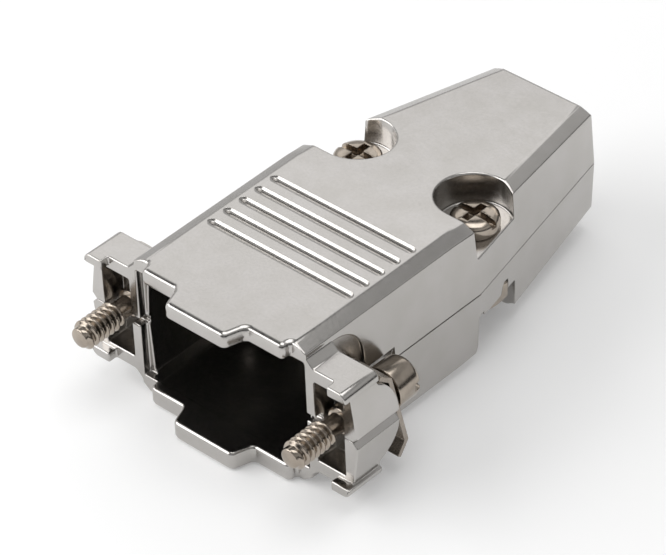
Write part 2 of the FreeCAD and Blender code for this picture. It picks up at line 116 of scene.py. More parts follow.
@dataclass(frozen=True)
class PlatedMetal:
    """A plated metal surface.

    Attributes:
        name: Name of the material.
        colour: Colour of the plating, sRGB.
        tint: Colour of the thinner patches of plating, sRGB.
        roughness: Mean roughness.
        spread: How far the roughness strays from its mean.
        cloud_mm: Size of the soft patches in the plating.
        grain_mm: Size of the fine grain under the plating.
        grain_depth_mm: Height of that grain.
        edge_mm: Radius to which the eye sees the edges rounded.
        stretch: Stretch of the grain along X, Y and Z, for drawn or turned metal.
    """

    name: str
    colour: str
    tint: str
    roughness: float
    spread: float
    cloud_mm: float
    grain_mm: float
    grain_depth_mm: float
    edge_mm: float
    stretch: Point3 = (1.0, 1.0, 1.0)

    def build(self) -> bpy.types.Material:
        """Builds the material.

        Returns:
            A material on object coordinates.
        """
        material = bpy.data.materials.new(self.name)
        material.use_nodes = True
        tree = material.node_tree
        tree.nodes.clear()
        place = add_node(tree, "ShaderNodeTexCoord")
        run = add_node(tree, "ShaderNodeMapping", {
            "Vector": place.outputs["Object"], "Scale": tuple(1.0 / s for s in self.stretch),
        })
        cloud = add_node(tree, "ShaderNodeTexNoise", {
            "Vector": run.outputs["Vector"], "Scale": 1.0 / (self.cloud_mm * MM),
            "Detail": 3.0, "Roughness": 0.55,
        })
        grain = add_node(tree, "ShaderNodeTexNoise", {
            "Vector": run.outputs["Vector"], "Scale": 1.0 / (self.grain_mm * MM),
            "Detail": 2.0, "Roughness": 0.6,
        })
        round_edge = add_node(tree, "ShaderNodeBevel", {"Radius": self.edge_mm * MM}, samples=6)
        flat = add_node(tree, "ShaderNodeNewGeometry")
        # Where the rounded and the flat normal part, the plating is rubbed smoother.
        turn = add_node(tree, "ShaderNodeVectorMath", {
            0: round_edge.outputs["Normal"], 1: flat.outputs["Normal"],
        }, operation="DOT_PRODUCT")
        edge = add_node(tree, "ShaderNodeMapRange", {
            "Value": turn.outputs["Value"], "From Min": 0.995, "From Max": 0.9,
        })
        patch = add_node(tree, "ShaderNodeMapRange", {
            "Value": cloud.outputs["Fac"], "From Min": 0.35, "From Max": 0.65,
        })
        colour = add_node(tree, "ShaderNodeMix", {
            0: patch.outputs["Result"], 6: linear(self.colour), 7: linear(self.tint),
        }, data_type="RGBA")
        dull = add_node(tree, "ShaderNodeMapRange", {
            "Value": grain.outputs["Fac"], "From Min": 0.3, "From Max": 0.7,
            "To Min": self.roughness - self.spread, "To Max": self.roughness + self.spread,
        })
        rubbed = add_node(tree, "ShaderNodeMath", {
            0: edge.outputs["Result"], 1: self.spread * 1.5,
        }, operation="MULTIPLY")
        roughness = add_node(tree, "ShaderNodeMath", {
            0: dull.outputs["Result"], 1: rubbed.outputs["Value"],
        }, operation="SUBTRACT")
        bump = add_node(tree, "ShaderNodeBump", {
            "Strength": 1.0, "Distance": self.grain_depth_mm * MM,
            "Height": grain.outputs["Fac"], "Normal": round_edge.outputs["Normal"],
        })
        surface = add_node(tree, "ShaderNodeBsdfPrincipled", {
            "Metallic": 1.0, "Base Color": colour.outputs[2],
            "Roughness": roughness.outputs["Value"], "Normal": bump.outputs["Normal"],
        })
        add_node(tree, "ShaderNodeOutputMaterial", {"Surface": surface.outputs["BSDF"]})
        return material


# Zinc die casting with a bright nickel plate: a soft mirror over the faint ripple and grain of
# the casting, slightly warm, with clean bright lines where the edges are rubbed.
CAST_SHELL = PlatedMetal(
    name="satin_nickel_plate_on_die_cast_zinc", colour="#BBB8B5", tint="#B6B3AF",
    roughness=0.21, spread=0.035, cloud_mm=3.2, grain_mm=0.25, grain_depth_mm=0.0004, edge_mm=0.12,
)
# Turned steel under nickel: warmer than the casting, with brighter and darker fine patches.
TURNED_SCREW = PlatedMetal(
    name="bright_nickel_plate_on_turned_steel", colour="#ADA397", tint="#9C9287",
    roughness=0.2, spread=0.05, cloud_mm=1.4, grain_mm=0.12, grain_depth_mm=0.0005, edge_mm=0.07,
)
# Rolled spring strip under nickel: warm and duller, with the grain drawn out along the strip.
SPRING_STRIP = PlatedMetal(
    name="nickel_plate_on_rolled_spring_strip", colour="#ABA298", tint="#999086",
    roughness=0.28, spread=0.06, cloud_mm=1.6, grain_mm=0.12, grain_depth_mm=0.0006, edge_mm=0.08,
    stretch=(1.0, 1.0, 5.0),
)


@dataclass
class Finishes:
    """The three platings of the hood, built once and handed to its pieces."""

    built: Dict[Plating, bpy.types.Material] = field(default_factory=dict)

    def get(self, plating: Plating) -> bpy.types.Material:
        """Gives the material of a plating, built on first use.

        Args:
            plating: Which plating.

        Returns:
            Its material.
        """
        recipes = {
            Plating.CAST_SHELL: CAST_SHELL,
            Plating.TURNED_SCREW: TURNED_SCREW,
            Plating.SPRING_STRIP: SPRING_STRIP,
        }
        if plating not in self.built:
            self.built[plating] = recipes[plating].build()
        return self.built[plating]

    def dress(self, obj: bpy.types.Object, plating: Plating) -> None:
        """Gives an object one plating all over.

        Args:
            obj: A node of the frame or a new piece.
            plating: Which plating.
        """
        material = self.get(plating)
        if not obj.data.materials:
            obj.data.materials.append(material)
        for slot in obj.material_slots:
            slot.material = material


def link(name: str, mesh: bpy.types.Mesh) -> bpy.types.Object:
    """Makes an object of a mesh and puts it in the scene.

    Args:
        name: Name of the object.
        mesh: Its mesh.

    Returns:
        The object, at the origin.
    """
    obj = bpy.data.objects.new(name, mesh)
    bpy.context.scene.collection.objects.link(obj)
    return obj


def lathe(profile: Sequence[Point2], segments: int = 64) -> bmesh.types.BMesh:
    """Turns a profile round the Y axis into a closed solid.

    Args:
        profile: Radius and Y of each corner from one end to the other. An end that isn't
            on the axis is closed flat.
        segments: Steps round the axis.

    Returns:
        A mesh in the same units as the profile.
    """
    mesh = bmesh.new()
    rings: List[List[bmesh.types.BMVert]] = []
    poles = (0.0, profile[0][1]), (0.0, profile[-1][1])
    # The keys leave out a pole that the profile already has.
    for radius, y in dict.fromkeys([poles[0], *profile, poles[1]]):
        ring = []
        for i in range(segments if radius else 1):
            angle = 2 * math.pi * i / segments
            ring.append(mesh.verts.new((radius * math.sin(angle), y, radius * math.cos(angle))))
        rings.append(ring)
    for first, second in zip(rings, rings[1:]):
        for i in range(segments):
            j = (i + 1) % segments
            corners = [first[i % len(first)], second[i % len(second)],
                       second[j % len(second)], first[j % len(first)]]
            mesh.faces.new(list(dict.fromkeys(corners)))
    bmesh.ops.recalc_face_normals(mesh, faces=mesh.faces)
    return mesh


def rounded(radius: float, end: float, corners: Sequence[Point2]) -> List[Point2]:
    """Places the corners of a rounded rim.

    Args:
        radius: Radius of the side.
        end: Y of the end.
        corners: How far each corner lies inside the side and below the end. The second
            is less than nought at a lower end.

    Returns:
        Radius and Y of the corners.
    """
    return [(radius - inset, end - drop) for inset, drop in corners]


def block(low: Sequence[float], high: Sequence[float]) -> bmesh.types.BMesh:
    """Makes a cutter with square corners.

    Args:
        low: Lowest corner.
        high: Highest corner.

    Returns:
        A mesh in the same units as the corners.
    """
    mesh = bmesh.new()
    bmesh.ops.create_cube(mesh, size=1.0)
    size = [h - l for l, h in zip(low, high)]
    middle = [(h + l) / 2 for l, h in zip(low, high)]
    bmesh.ops.scale(mesh, vec=size, verts=mesh.verts)
    bmesh.ops.translate(mesh, vec=middle, verts=mesh.verts)
    return mesh


def to_object(name: str, shape: bmesh.types.BMesh, place: Matrix) -> bpy.types.Object:
    """Turns a shape in millimetres into an object in metres.

    Args:
        name: Name of the object.
        shape: The shape, freed afterwards.
        place: Where it goes, in millimetres.

    Returns:
        The object, at the origin, with its place in its mesh.
    """
    bmesh.ops.transform(shape, matrix=Matrix.Scale(MM, 4) @ place, verts=shape.verts)
    mesh = bpy.data.meshes.new(name)
    shape.to_mesh(mesh)
    shape.free()
    return link(name, mesh)


def settle(obj: bpy.types.Object) -> None:
    """Bakes the modifiers of an object into its mesh and removes them.

    Args:
        obj: The object.
    """
    bpy.context.view_layer.update()
    graph = bpy.context.evaluated_depsgraph_get()
    mesh = bpy.data.meshes.new_from_object(obj.evaluated_get(graph))
    obj.modifiers.clear()
    obj.data = mesh


def carve(
    obj: bpy.types.Object, tools: Sequence[bpy.types.Object], operation: str = "DIFFERENCE",
) -> None:
    """Cuts an object with other objects.

    Args:
        obj: The object that is cut.
        tools: Objects that cut it and are then deleted.
        operation: Name of the boolean operation.
    """
    for tool in tools:
        modifier = obj.modifiers.new("carve", "BOOLEAN")
        modifier.operation = operation
        modifier.solver = "EXACT"
        modifier.object = tool
    settle(obj)
    for tool in tools:
        bpy.data.objects.remove(tool)


def smooth(obj: bpy.types.Object, degrees: float = 32.0) -> None:
    """Shades an object smooth except across sharp edges.

    Args:
        obj: The object.
        degrees: Angle past which an edge is sharp.
    """
    mesh = obj.data
    shape = bmesh.new()
    shape.from_mesh(mesh)
    for face in shape.faces:
        face.smooth = True
    for edge in shape.edges:
        edge.smooth = len(edge.link_faces) == 2 and edge.calc_face_angle(0) < math.radians(degrees)
    shape.to_mesh(mesh)
    shape.free()


def break_edges(obj: bpy.types.Object, width: float) -> None:
    """Breaks the sharp edges of an object and smooths its curves.

    Args:
        obj: The object.
        width: Width of the broken edges in millimetres.
    """
    bevel = obj.modifiers.new("edges", "BEVEL")
    bevel.width = width * MM
    bevel.segments = 2
    bevel.limit_method = "ANGLE"
    bevel.angle_limit = math.radians(35)
    settle(obj)
    smooth(obj)


class PointTree:
    """Geometry nodes that lay the points of a grid by a table of sums.

    A row of SUMS holds a name, an operation and its terms. A term is a number, a named input,
    the x, y or z of the grid, or the name of an earlier row. The rows X, Y and Z are where the
    point goes.
    """

    NAME = ""
    SIZES: Tuple[str, ...] = ()
    COUNT = ""
    SUMS: Tuple[Tuple[Any, ...], ...] = ()

    def __init__(self) -> None:
        """Builds the tree, which ends with real geometry in one material."""
        self.tree = bpy.data.node_groups.new(self.NAME, "GeometryNodeTree")
        sockets = [("Geometry", "NodeSocketGeometry")]
        sockets += [(name, "NodeSocketFloat") for name in self.SIZES]
        sockets += [(self.COUNT, "NodeSocketInt"), ("Material", "NodeSocketMaterial")]
        for name, kind in sockets:
            self.tree.interface.new_socket(name, in_out="INPUT", socket_type=kind)
        self.tree.interface.new_socket(
            "Geometry", in_out="OUTPUT", socket_type="NodeSocketGeometry",
        )
        self.given = add_node(self.tree, "NodeGroupInput").outputs
        real = add_node(self.tree, "GeometryNodeRealizeInstances", {"Geometry": self.shape()})
        painted = add_node(self.tree, "GeometryNodeSetMaterial", {
            "Geometry": real.outputs[0], "Material": self.given["Material"],
        })
        add_node(self.tree, "NodeGroupOutput", {"Geometry": painted.outputs[0]})

    def shape(self) -> bpy.types.NodeSocket:
        """Gives the geometry of the tree, before it is made real and painted."""
        raise NotImplementedError

    def lay(self, grid: bpy.types.NodeSocket, **more: bpy.types.NodeSocket) -> bpy.types.NodeSocket:
        """Moves each point of a grid to where the sums say.

        Args:
            grid: Geometry of the grid.
            more: Further terms by name.

        Returns:
            The laid geometry.
        """
        place = add_node(self.tree, "GeometryNodeInputPosition")
        parts = add_node(self.tree, "ShaderNodeSeparateXYZ", {0: place.outputs[0]}).outputs
        known = {"x": parts[0], "y": parts[1], "z": parts[2], **more}
        known.update({name: self.given[name] for name in self.SIZES})
        for name, operation, *terms in self.SUMS:
            inputs = {slot: known.get(term, term) for slot, term in enumerate(terms)}
            node = add_node(self.tree, "ShaderNodeMath", inputs, operation=operation)
            known[name] = node.outputs[0]
        spot = add_node(self.tree, "ShaderNodeCombineXYZ", {
            0: known["X"], 1: known["Y"], 2: known["Z"],
        })
        laid = add_node(self.tree, "GeometryNodeSetPosition", {
            "Geometry": grid, "Position": spot.outputs[0],
        })
        return laid.outputs[0]

    def wind(self, name: str, sizes: Dict[str, Any]) -> bpy.types.Object:
        """Runs the tree and turns its result into a plain mesh.

        Args:
            name: Name of the object.
            sizes: Value of each named input.

        Returns:
            The object.
        """
        obj = link(name, bpy.data.meshes.new(name))
        modifier = obj.modifiers.new("shape", "NODES")
        modifier.node_group = self.tree
        for item in self.tree.interface.items_tree:
            if item.in_out == "INPUT" and item.name in sizes:
                modifier[item.identifier] = sizes[item.name]
        settle(obj)
        return obj


class ThreadTree(PointTree):
    """Geometry nodes that wind one closed thread round the Y axis, with run-outs at its ends."""

    NAME = "wound_thread"
    SIZES = ("Start", "Pitch", "Turns", "Base radius", "Crest radius", "Crest share", "Run-out")
    COUNT = "Steps"
    # Rows of the grid across the thread. Those in the middle span one pitch, and one more at
    # each side lies under the surface, where the two meet and close the thread.
    ROWS = 9
    OUTER = 0.6
    SUNK = 0.3
    FOOT = 0.98
    SUMS = (
        ("along", "ADD", "x", 0.5),
        ("across", "ABSOLUTE", "y"),
        ("turned", "MULTIPLY", "along", "Turns"),
        ("angle", "MULTIPLY", "turned", 2 * math.pi),
        ("left", "SUBTRACT", "Turns", "turned"),
        ("near end", "MINIMUM", "turned", "left"),
        ("fade", "DIVIDE", "near end", "Run-out"),
        ("fade", "MINIMUM", "fade", 1.0),
        ("flank", "SUBTRACT", 0.5, "across"),
        ("flank", "MAXIMUM", "flank", 0.0),
        ("slope", "SUBTRACT", 0.5, "Crest share"),
        ("rise", "DIVIDE", "flank", "slope"),
        ("rise", "MINIMUM", "rise", 1.0),
        ("height", "SUBTRACT", "Crest radius", "Base radius"),
        ("lift", "MULTIPLY", "rise", "fade"),
        ("lift", "MULTIPLY", "lift", "height"),
        ("under", "GREATER_THAN", "across", OUTER),
        ("ended", "LESS_THAN", "near end", 0.0001),
        ("hidden", "MAXIMUM", "under", "ended"),
        ("shown", "SUBTRACT", 1.0, "hidden"),
        ("sink", "MULTIPLY", "hidden", "height"),
        ("sink", "MULTIPLY", "sink", SUNK),
        ("radius", "ADD", "Base radius", "lift"),
        ("radius", "SUBTRACT", "radius", "sink"),
        ("sine", "SINE", "angle"),
        ("cosine", "COSINE", "angle"),
        ("X", "MULTIPLY", "radius", "sine"),
        ("Z", "MULTIPLY", "radius", "cosine"),
        ("aside", "MULTIPLY", "y", FOOT),
        ("aside", "MULTIPLY", "aside", "shown"),
        ("step", "ADD", "turned", "aside"),
        ("step", "MULTIPLY", "step", "Pitch"),
        ("Y", "ADD", "Start", "step"),
    )

    def shape(self) -> bpy.types.NodeSocket:
        """Lays a flat grid round the axis and joins its outer rows and its ends."""
        grid = add_node(self.tree, "GeometryNodeMeshGrid", {
            "Size X": 1.0, "Size Y": (self.ROWS - 1) / (self.ROWS - 3),
            "Vertices X": self.given["Steps"], "Vertices Y": self.ROWS,
        })
        joined = add_node(self.tree, "GeometryNodeMergeByDistance", {
            "Geometry": self.lay(grid.outputs["Mesh"]), "Distance": 0.001 * MM,
        })
        return joined.outputs[0]


class GrooveTree(PointTree):
    """Geometry nodes that shape the cutters of the grip grooves, side by side along Y."""

    NAME = "grip_grooves"
    SIZES = ("Length", "Width", "Depth", "End", "First Y", "Pitch", "Roof Z", "Clearance")
    COUNT = "Count"
    # Depth of a groove across its width: a long slope in front and a steep wall behind.
    PROFILE = (
        (0.0, 0.0), (0.10, 0.05), (0.25, 0.27), (0.42, 0.58), (0.56, 0.84), (0.66, 0.97),
        (0.72, 1.0), (0.77, 0.95), (0.85, 0.66), (0.865, 0.56), (0.927, 0.05), (0.94, 0.0),
        (1.0, 0.0),
    )
    STATIONS = {"Vertices X": 33, "Vertices Y": 73, "Vertices Z": 2}
    # Stations crowd towards the ends, where the groove rounds up to the roof.
    CROWD = 3.0
    LEAST = 0.002
    SKIM = 0.02
    SUMS = (
        ("inner", "ABSOLUTE", "x"),
        ("inner", "SUBTRACT", 0.5, "inner"),
        ("inner", "MULTIPLY", "inner", 2.0),
        ("left", "POWER", "inner", CROWD),
        ("half", "MULTIPLY", "Length", 0.5),
        ("run", "MULTIPLY", "left", "half"),
        ("reach", "SUBTRACT", "half", "run"),
        ("side", "SIGN", "x"),
        ("X", "MULTIPLY", "reach", "side"),
        ("near", "DIVIDE", "run", "End"),
        ("near", "SUBTRACT", 1.0, "near"),
        ("near", "MAXIMUM", "near", 0.0),
        ("full", "MULTIPLY", "near", "near"),
        ("full", "SUBTRACT", 1.0, "full"),
        ("full", "MAXIMUM", "full", LEAST),
        ("full", "SQRT", "full"),
        ("Y", "MULTIPLY", "y", "Width"),
        ("Y", "MULTIPLY", "Y", "full"),
        ("Y", "ADD", "Y", "First Y"),
        ("drop", "MULTIPLY", "profile", "Depth"),
        ("drop", "MULTIPLY", "drop", "full"),
        ("skim", "MULTIPLY", "Clearance", SKIM),
        ("floor", "SUBTRACT", "skim", "drop"),
        ("upper", "GREATER_THAN", "z", 0.0),
        ("lower", "SUBTRACT", 1.0, "upper"),
        ("floor", "MULTIPLY", "floor", "lower"),
        ("lid", "MULTIPLY", "upper", "Clearance"),
        ("Z", "ADD", "floor", "lid"),
        ("Z", "ADD", "Z", "Roof Z"),
    )

    def shape(self) -> bpy.types.NodeSocket:
        """Bends the underside of a flat box to the groove and repeats it."""
        tree = self.tree
        box = add_node(tree, "GeometryNodeMeshCube", {"Size": (1.0, 1.0, 1.0), **self.STATIONS})
        place = add_node(tree, "GeometryNodeInputPosition")
        parts = add_node(tree, "ShaderNodeSeparateXYZ", {0: place.outputs[0]}).outputs
        across = add_node(tree, "ShaderNodeMath", {0: parts[1], 1: 0.5}, operation="ADD")
        curve = add_node(tree, "ShaderNodeFloatCurve", {"Value": across.outputs[0]})
        line = curve.mapping.curves[0].points
        line[0].location, line[1].location = self.PROFILE[0], self.PROFILE[-1]
        for spot in self.PROFILE[1:-1]:
            line.new(*spot)
        curve.mapping.update()
        laid = self.lay(box.outputs["Mesh"], profile=curve.outputs[0])
        step = add_node(tree, "ShaderNodeCombineXYZ", {1: self.given["Pitch"]})
        row = add_node(tree, "GeometryNodeMeshLine", {
            "Count": self.given["Count"], "Offset": step.outputs[0],
        }, mode="OFFSET")
        placed = add_node(tree, "GeometryNodeInstanceOnPoints", {
            "Points": row.outputs[0], "Instance": laid,
        })
        return placed.outputs[0]


@dataclass
class Jackscrews:
    """The two jackscrews, with wound threads, collars and slotted heads."""

    finishes: Finishes
    tree: ThreadTree
    axis_x: float = 12.495
    tip_y: float = -5.05
    tip_rim: Tuple[Point2, ...] = ((0.25, 0), (0.08, -0.08), (0, -0.25))
    thread_end_y: float = -0.15
    pitch: float = 0.635
    core_r: float = 1.0
    crest_r: float = 1.36
    crest_share: float = 0.12
    # How far the foot of the thread lies inside the core, and its run-outs in turns.
    root: float = 0.04
    run_out: float = 0.3
    thread_steps: int = 440
    # Pitches from the tip to the thread, and those that both its ends leave free.
    lead: float = 0.62
    bare: float = 1.15
    neck_r: float = 0.95
    neck_slope: float = 0.12
    collar_r: float = 1.45
    collar_rim: Tuple[Point2, ...] = ((0.28, 0), (0.08, -0.1), (0, -0.3))
    journal_r: float = 1.12
    head_r: float = 2.1
    head_dome: Tuple[Point2, ...] = ((0, 0.62), (0.05, 0.38), (0.2, 0.18), (0.5, 0.05), (1, 0))
    head_rim: float = 0.1
    slot_width: float = 0.8
    slot_depth: float = 1.0
    gap: float = 0.08
    channel_depth: float = 2.4
    collar_length: float = 1.1
    head_front_y: float = 6.9
    head_rear_y: float = 9.79
    edge: float = 0.05

    def profile(self) -> List[Point2]:
        """Gives the turned outline without its thread.

        Returns:
            Radius and Y from the tip to the head.
        """
        collar_end = self.channel_depth - self.gap
        collar = collar_end - self.collar_length
        points = rounded(self.core_r, self.tip_y, self.tip_rim)
        points += [(self.core_r, self.thread_end_y - self.neck_slope)]
        points += [(self.neck_r, self.thread_end_y), (self.neck_r, collar)]
        points += rounded(self.collar_r, collar, self.collar_rim)
        points += [(self.collar_r, collar_end), (self.journal_r, collar_end)]
        points += [(self.journal_r, self.head_front_y)]
        points += [(self.head_r - self.head_rim, self.head_front_y)]
        points += [(self.head_r, self.head_front_y + self.head_rim)]
        return points + rounded(self.head_r, self.head_rear_y, self.head_dome)

    def thread(self) -> bpy.types.Object:
        """Winds the thread round the Y axis.

        Returns:
            The thread.
        """
        return self.tree.wind("thread", {
            "Start": (self.tip_y + self.lead * self.pitch) * MM,
            "Pitch": self.pitch * MM,
            "Turns": (self.thread_end_y - self.tip_y) / self.pitch - self.bare,
            "Base radius": (self.core_r - self.root) * MM,
            "Crest radius": self.crest_r * MM,
            "Crest share": self.crest_share,
            "Run-out": self.run_out,
            "Steps": self.thread_steps,
            "Material": self.finishes.get(Plating.TURNED_SCREW),
        })

    def build(self, side: Side) -> bpy.types.Object:
        """Builds the jackscrew of one side.

        Args:
            side: Which side.

        Returns:
            The finished piece.
        """
        place = Matrix.Translation((side.value * self.axis_x, 0, 0))
        body = to_object("jackscrew_" + side.word + "_turned", lathe(self.profile()), place)
        half = self.slot_width / 2
        floor = self.head_rear_y - self.slot_depth
        slot = block((-PAST, floor, -half), (PAST, self.head_rear_y + PAST, half))
        carve(body, [to_object("slot", slot, place)])
        break_edges(body, self.edge)
        thread = self.thread()
        thread.data.transform(Matrix.Translation((side.value * self.axis_x * MM, 0, 0)))
        self.join(body, thread)
        self.finishes.dress(body, Plating.TURNED_SCREW)
        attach(body, side.word + "_jackscrew")
        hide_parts("jackscrew_" + side.word)
        return body

    @staticmethod
    def join(body: bpy.types.Object, thread: bpy.types.Object) -> None:
        """Puts the thread into the mesh of the turned body.

        Args:
            body: Object that gets the thread.
            thread: Object that goes into it and is deleted.
        """
        shape = bmesh.new()
        shape.from_mesh(thread.data)
        bmesh.ops.recalc_face_normals(shape, faces=shape.faces)
        shape.from_mesh(body.data)
        shape.to_mesh(body.data)
        shape.free()
        bpy.data.objects.remove(thread)
        smooth(body)


@dataclass(frozen=True)
class Screw:
    """Sizes of a headed screw and the node it stands for.

    Attributes:
        node: Node without its side.
        place: X, Y and Z of the seat of its head on the right.
        end_z: Z of its tip.
        shank_r: Radius of the shank.
        point: Chamfer of the tip.
        head_r: Radius of the head.
        head_height: Height of the head.
        rim: Chamfer of the underside of the head.
        dome: Corners of the top of the head, inwards from its side and down from its top.
        slot: Width and depth of the slot.
        edge: Width of the broken edges.
        segments: Steps round its axis.
        cross: Width, half length and depth of the cross, where it has one.
    """

    node: str
    place: Point3
    end_z: float
    shank_r: float
    point: float
    head_r: float
    head_height: float
    rim: float
    dome: Tuple[Point2, ...]
    slot: Point2
    edge: float
    segments: int
    cross: Optional[Point3] = None


@dataclass
class Screws:
    """Pan-head screws in the recesses and cheese-head screws of the cable clamp."""

    finishes: Finishes
    screws: Tuple[Screw, ...] = (
        Screw(
            "housing_screw", place=(6.95, 25.6, 3.8), end_z=-3.6, shank_r=1.25, point=0.25,
            head_r=2.3, head_height=1.6, rim=0.12,
            dome=((0, 0.75), (0.06, 0.5), (0.25, 0.28), (0.6, 0.12), (1.1, 0.03), (2.3, 0)),
            slot=(0.7, 0.8), edge=0.05, segments=64, cross=(0.75, 1.35, 1.0),
        ),
        Screw(
            "clamp_screw", place=(4.55, 34.6, 1.2), end_z=-3.0, shank_r=0.8, point=0.15,
            head_r=1.5, head_height=1.1, rim=0.06,
            dome=((0, 0.3), (0.08, 0.14), (0.3, 0.03), (0.6, 0)),
            slot=(0.5, 0.6), edge=0.04, segments=48,
        ),
    )

    def cutters(self, screw: Screw) -> List[bmesh.types.BMesh]:
        """Shapes what cuts the slot and the cross.

        Args:
            screw: Which screw.

        Returns:
            The cutters, round the axis of the screw.
        """
        top = screw.head_height
        width, depth = screw.slot
        sizes = [(PAST, width / 2, depth)]
        if screw.cross:
            width, reach, depth = screw.cross
            sizes += [(width / 2, reach, depth), (reach, width / 2, depth)]
        return [block((-x, -y, top - deep), (x, y, top + PAST)) for x, y, deep in sizes]

    def build(self, screw: Screw, side: Side) -> bpy.types.Object:
        """Builds one screw.

        Args:
            screw: Which screw.
            side: Which side.

        Returns:
            The finished piece.
        """
        x, y, z = screw.place
        tip = screw.end_z - z
        points = [(screw.shank_r - screw.point, tip), (screw.shank_r, tip + screw.point)]
        points += [(screw.shank_r, 0.0), (screw.head_r - screw.rim, 0.0)]
        points += [(screw.head_r, screw.rim)]
        points += rounded(screw.head_r, screw.head_height, screw.dome)
        turn = Matrix.Rotation(math.radians(90), 4, "X")
        place = Matrix.Translation((side.value * x, y, z))
        turned = lathe(points, screw.segments)
        obj = to_object(screw.node + "_" + side.word + "_turned", turned, place @ turn)
        carve(obj, [to_object("cutter", shape, place) for shape in self.cutters(screw)])
        break_edges(obj, screw.edge)
        self.finishes.dress(obj, Plating.TURNED_SCREW)
        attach(obj, "hood")
        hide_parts(screw.node + "_" + side.word)
        return obj


@dataclass
class Shells:
    """The two cast halves, with every edge rounded as a casting leaves the die."""

    finishes: Finishes
    grooves: GrooveTree
    nodes: Tuple[str, ...] = ("top_shell", "bottom_shell")
    merge_distance: float = 0.002
    flat_degrees: float = 0.6
    slack: float = 0.01
    edge_width: float = 0.32
    edge_steps: int = 3
    edge_degrees: float = 38.0
    smooth_degrees: float = 40.0
    # Shares of the full edge width on the body, the ears and the seam, and the share of the
    # room on a face that one edge may take.
    body_share: float = 0.62
    ear_share: float = 0.48
    seam_share: float = 0.22
    room_share: float = 0.42
    # The ears begin at this X and end at this Y, and the mouth ends at this Y.
    ear_x: float = 9.8
    ear_y: float = 6.5
    mouth_y: float = 0.7
    seam_reach: float = 0.1
    parting_gap: float = 0.07
    # Spots where several curved edges run out together and stay sharp: X, Y, Z and radius.
    sharp_spots: Tuple[Tuple[float, float, float, float], ...] = (
        (10.16, 10.6, 0.0, 1.1), (6.95, 21.98, -7.9, 0.6), (10.34, 21.78, -6.58, 0.5),
        (4.5, 39.1, 0.0, 0.9), (4.1, 43.2, -6.6, 0.9),
    )
    roof_z: float = 7.5
    roof_skin: float = 0.5
    plain_groove_half: Point2 = (9.1, 0.43)
    groove_count: int = 5
    groove_first_y: float = 7.8
    groove_pitch: float = 2.02
    groove_length: float = 17.0
    groove_width: float = 1.25
    groove_depth: float = 0.27
    groove_end: float = 0.55
    groove_margin: float = 1.0
    groove_clearance: float = 0.5

    def fill_grooves(self, shape: bmesh.types.BMesh) -> None:
        """Closes the plain grooves of the solid, so that rounded ones can be cut.

        Args:
            shape: Merged mesh of the upper half, in metres.
        """
        half_length, half_width = (size * MM for size in self.plain_groove_half)
        for i in range(self.groove_count):
            y = (self.groove_first_y + i * self.groove_pitch) * MM
            inside = [
                face for face in shape.faces
                if all(abs(v.co.y - y) < half_width and abs(v.co.x) < half_length
                       and v.co.z > (self.roof_z - self.roof_skin) * MM for v in face.verts)
            ]
            bmesh.ops.delete(shape, geom=inside, context="FACES")
            rim = {v for edge in shape.edges if edge.is_boundary for v in edge.verts}
            front = sorted((v for v in rim if v.co.y < y), key=lambda v: v.co.x)
            rear = sorted((v for v in rim if v.co.y > y), key=lambda v: v.co.x)
            for j in range(len(front) - 1):
                face = shape.faces.new((front[j], front[j + 1], rear[j + 1], rear[j]))
                face.normal_update()
                if face.normal.z < 0:
                    face.normal_flip()

    def width_share(self, edge: bmesh.types.BMEdge) -> float:
        """Says how much of the full edge width an edge can take.

        Args:
            edge: A sharp edge.

        Returns:
            A share from nought to one, less on narrow faces and on fine forms.
        """
        start, end = (v.co for v in edge.verts)
        for x, y, z, radius in self.sharp_spots:
            for spot in (start, end):
                if (Vector((abs(spot.x), spot.y, spot.z)) / MM - Vector((x, y, z))).length < radius:
                    return 0.0
        along = (end - start).normalized()
        room = min(
            max((v.co - start - along * (v.co - start).dot(along)).length for v in face.verts)
            for face in edge.link_faces
        )
        far_x, far_y, far_z = (max(abs(a), abs(b)) / MM for a, b in zip(start, end))
        share = self.body_share
        if far_z < self.seam_reach:
            share = self.seam_share
        elif far_x > self.ear_x and far_y < self.ear_y:
            share = self.ear_share
        elif max(start.y, end.y) < self.mouth_y * MM:
            share = 1.0
        return min(share, self.room_share * room / (self.edge_width * MM))

    def merged(self, name: str) -> bpy.types.Object:
        """Copies the mesh of one half with its points merged and its flat faces whole.

        Args:
            name: Node of the half.

        Returns:
            The copy, with its grooves rounded on the upper half.
        """
        upper = name == "top_shell"
        shape = bmesh.new()
        shape.from_mesh(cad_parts[name].data)
        bmesh.ops.remove_doubles(shape, verts=shape.verts, dist=self.merge_distance * MM)
        flat = {"angle_limit": math.radians(self.flat_degrees)}
        bmesh.ops.dissolve_limit(shape, verts=shape.verts, edges=shape.edges, **flat)
        if upper:
            self.fill_grooves(shape)
            bmesh.ops.dissolve_limit(shape, verts=shape.verts, edges=shape.edges, **flat)
        mesh = bpy.data.meshes.new(name + "_cast")
        shape.to_mesh(mesh)
        shape.free()
        obj = link(name + "_cast", mesh)
        if upper:
            self.cut_grooves(obj)
        return obj

    def cut_grooves(self, obj: bpy.types.Object) -> None:
        """Cuts the rounded grip grooves into the roof.

        Args:
            obj: The upper half.
        """
        cutter = self.grooves.wind("grooves", {
            "Length": self.groove_length * MM,
            "Width": self.groove_width * MM,
            "Depth": self.groove_depth * MM,
            "End": self.groove_end * MM,
            "First Y": self.groove_first_y * MM,
            "Pitch": self.groove_pitch * MM,
            "Roof Z": self.roof_z * MM,
            "Clearance": self.groove_clearance * MM,
            "Count": self.groove_count,
            "Material": self.finishes.get(Plating.CAST_SHELL),
        })
        carve(obj, [cutter])

